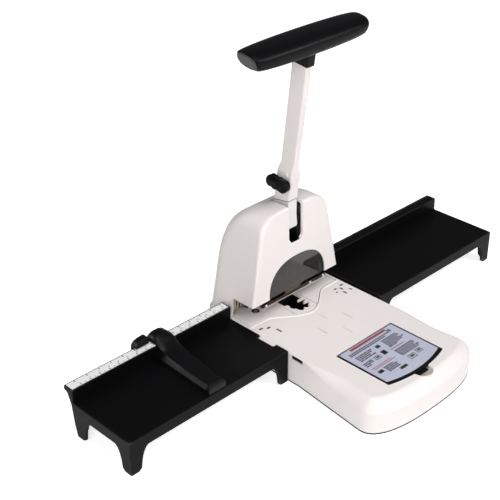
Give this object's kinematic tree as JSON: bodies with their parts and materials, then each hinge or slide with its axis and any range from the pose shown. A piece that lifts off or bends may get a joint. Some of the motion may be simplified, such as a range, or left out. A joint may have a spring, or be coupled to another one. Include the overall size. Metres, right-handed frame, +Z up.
{
  "type": "corner rounder",
  "caption": "Hand-lever desk corner rounder: hooded punch head over a nosed base, side tables with fences, sliding side stop, lidded storage tray and chip drawer.",
  "frame": {"origin": "under the middle of the machine's box, on the surface it stands on, with the lever up and the tables pushed home", "axes": "+Z up, -Y towards the user over the nose of the base, +X to the right along the side tables"},
  "size_m": [0.485, 0.226, 0.2987],
  "materials": {
    "off_white": "smooth warm white moulding, slightly glossy",
    "black_plastic": "satin black moulding",
    "black_grip": "satin black, softly grained",
    "rubber": "matt",
    "bright_steel": "bright plated steel",
    "dark_steel": "blackened steel",
    "brass": "worn plated plate with a brassy edge",
    "smoked": "dark smoked acrylic, glossy",
    "label": "printed film, pale lavender",
    "ruler_white": "printed white strip"
  },
  "bodies": {
    "machine": {"base_shell": "off_white", "base_plate": "dark_steel", "base_screw_1": "bright_steel", "base_screw_2": "bright_steel", "base_screw_3": "bright_steel", "base_screw_4": "bright_steel", "rubber_foot_1": "rubber", "rubber_foot_2": "rubber", "rubber_foot_3": "rubber", "rubber_foot_4": "rubber", "storage_tray": "black_plastic", "bed_casting": "dark_steel", "lower_die": "dark_steel", "die_plate": "off_white", "die_insert": "off_white", "die_plate_screw_left": "bright_steel", "die_plate_screw_right": "bright_steel", "frame_left_plate": "dark_steel", "frame_right_plate": "dark_steel", "frame_bolt_left": "bright_steel", "frame_bolt_right": "bright_steel", "frame_bridge": "dark_steel", "frame_rear_tie": "dark_steel", "paper_stop_plate": "dark_steel", "stripper_plate": "brass", "guide_post_left": "bright_steel", "guide_post_right": "bright_steel", "return_spring_left": "bright_steel", "return_spring_right": "bright_steel", "lever_axle": "bright_steel", "axle_clip_left": "bright_steel", "axle_clip_right": "bright_steel", "hood": "off_white", "hood_screw_left": "bright_steel", "hood_screw_right": "bright_steel", "smoked_window": "smoked"},
    "lever": {"inner_lever": "bright_steel", "yoke_pin": "bright_steel", "upper_arm": "off_white", "arm_rivet_lower": "bright_steel", "arm_rivet_upper": "bright_steel", "knob_stud": "bright_steel", "grip_neck": "black_grip", "grip": "black_grip", "grip_cap_left": "black_plastic", "grip_cap_right": "black_plastic"},
    "ram_assembly": {"ram": "dark_steel", "punch": "bright_steel", "punch_screw_left": "bright_steel", "punch_screw_right": "bright_steel"},
    "knob": {"wing_knob": "black_plastic"},
    "lid": {"storage_lid": "black_plastic", "lid_label": "label"},
    "drawer": {"chip_drawer": "black_plastic"},
    "left_side_table": {"left_table": "black_plastic", "left_ruler": "ruler_white"},
    "right_side_table": {"right_table": "black_plastic"},
    "stop": {"side_stop": "black_plastic", "stop_latch": "black_plastic"}
  },
  "joints": [
    {"name": "lever_hinge", "type": "hinge", "parent": "machine", "child": "lever", "pos_m": [0, 0.0775, 0.106], "axis": [1, 0, 0], "range_deg": [0, 58]},
    {"name": "ram_slide", "type": "slide", "parent": "machine", "child": "ram_assembly", "axis": [0, 0, -1], "range_m": [0, 0.014], "stiffness_N_per_m": 5400, "springref_m": -0.004, "deforming": ["return_spring_left", "return_spring_right"]},
    {"name": "knob_turn", "type": "hinge", "parent": "lever", "child": "knob", "pos_m": [0, 0.06564, 0.15637], "axis": [1, 0, 0], "range_deg": [-180, 0]},
    {"name": "lid_hinge", "type": "hinge", "parent": "machine", "child": "lid", "pos_m": [0, -0.0327, 0.0299], "axis": [-1, 0, 0], "range_deg": [0, 85]},
    {"name": "drawer_slide", "type": "slide", "parent": "machine", "child": "drawer", "axis": [0, 1, 0], "range_m": [0, 0.06]},
    {"name": "left_table_slide", "type": "slide", "parent": "machine", "child": "left_side_table", "axis": [-1, 0, 0], "range_m": [0, 0.008]},
    {"name": "right_table_slide", "type": "slide", "parent": "machine", "child": "right_side_table", "axis": [1, 0, 0], "range_m": [0, 0.008]},
    {"name": "stop_slide", "type": "slide", "parent": "left_side_table", "child": "stop", "axis": [1, 0, 0], "range_m": [-0.068, 0.058]}
  ],
  "couplings": [
    {"joint": "ram_slide", "follows": "lever_hinge", "m_per_rad": 0.013623}
  ]
}
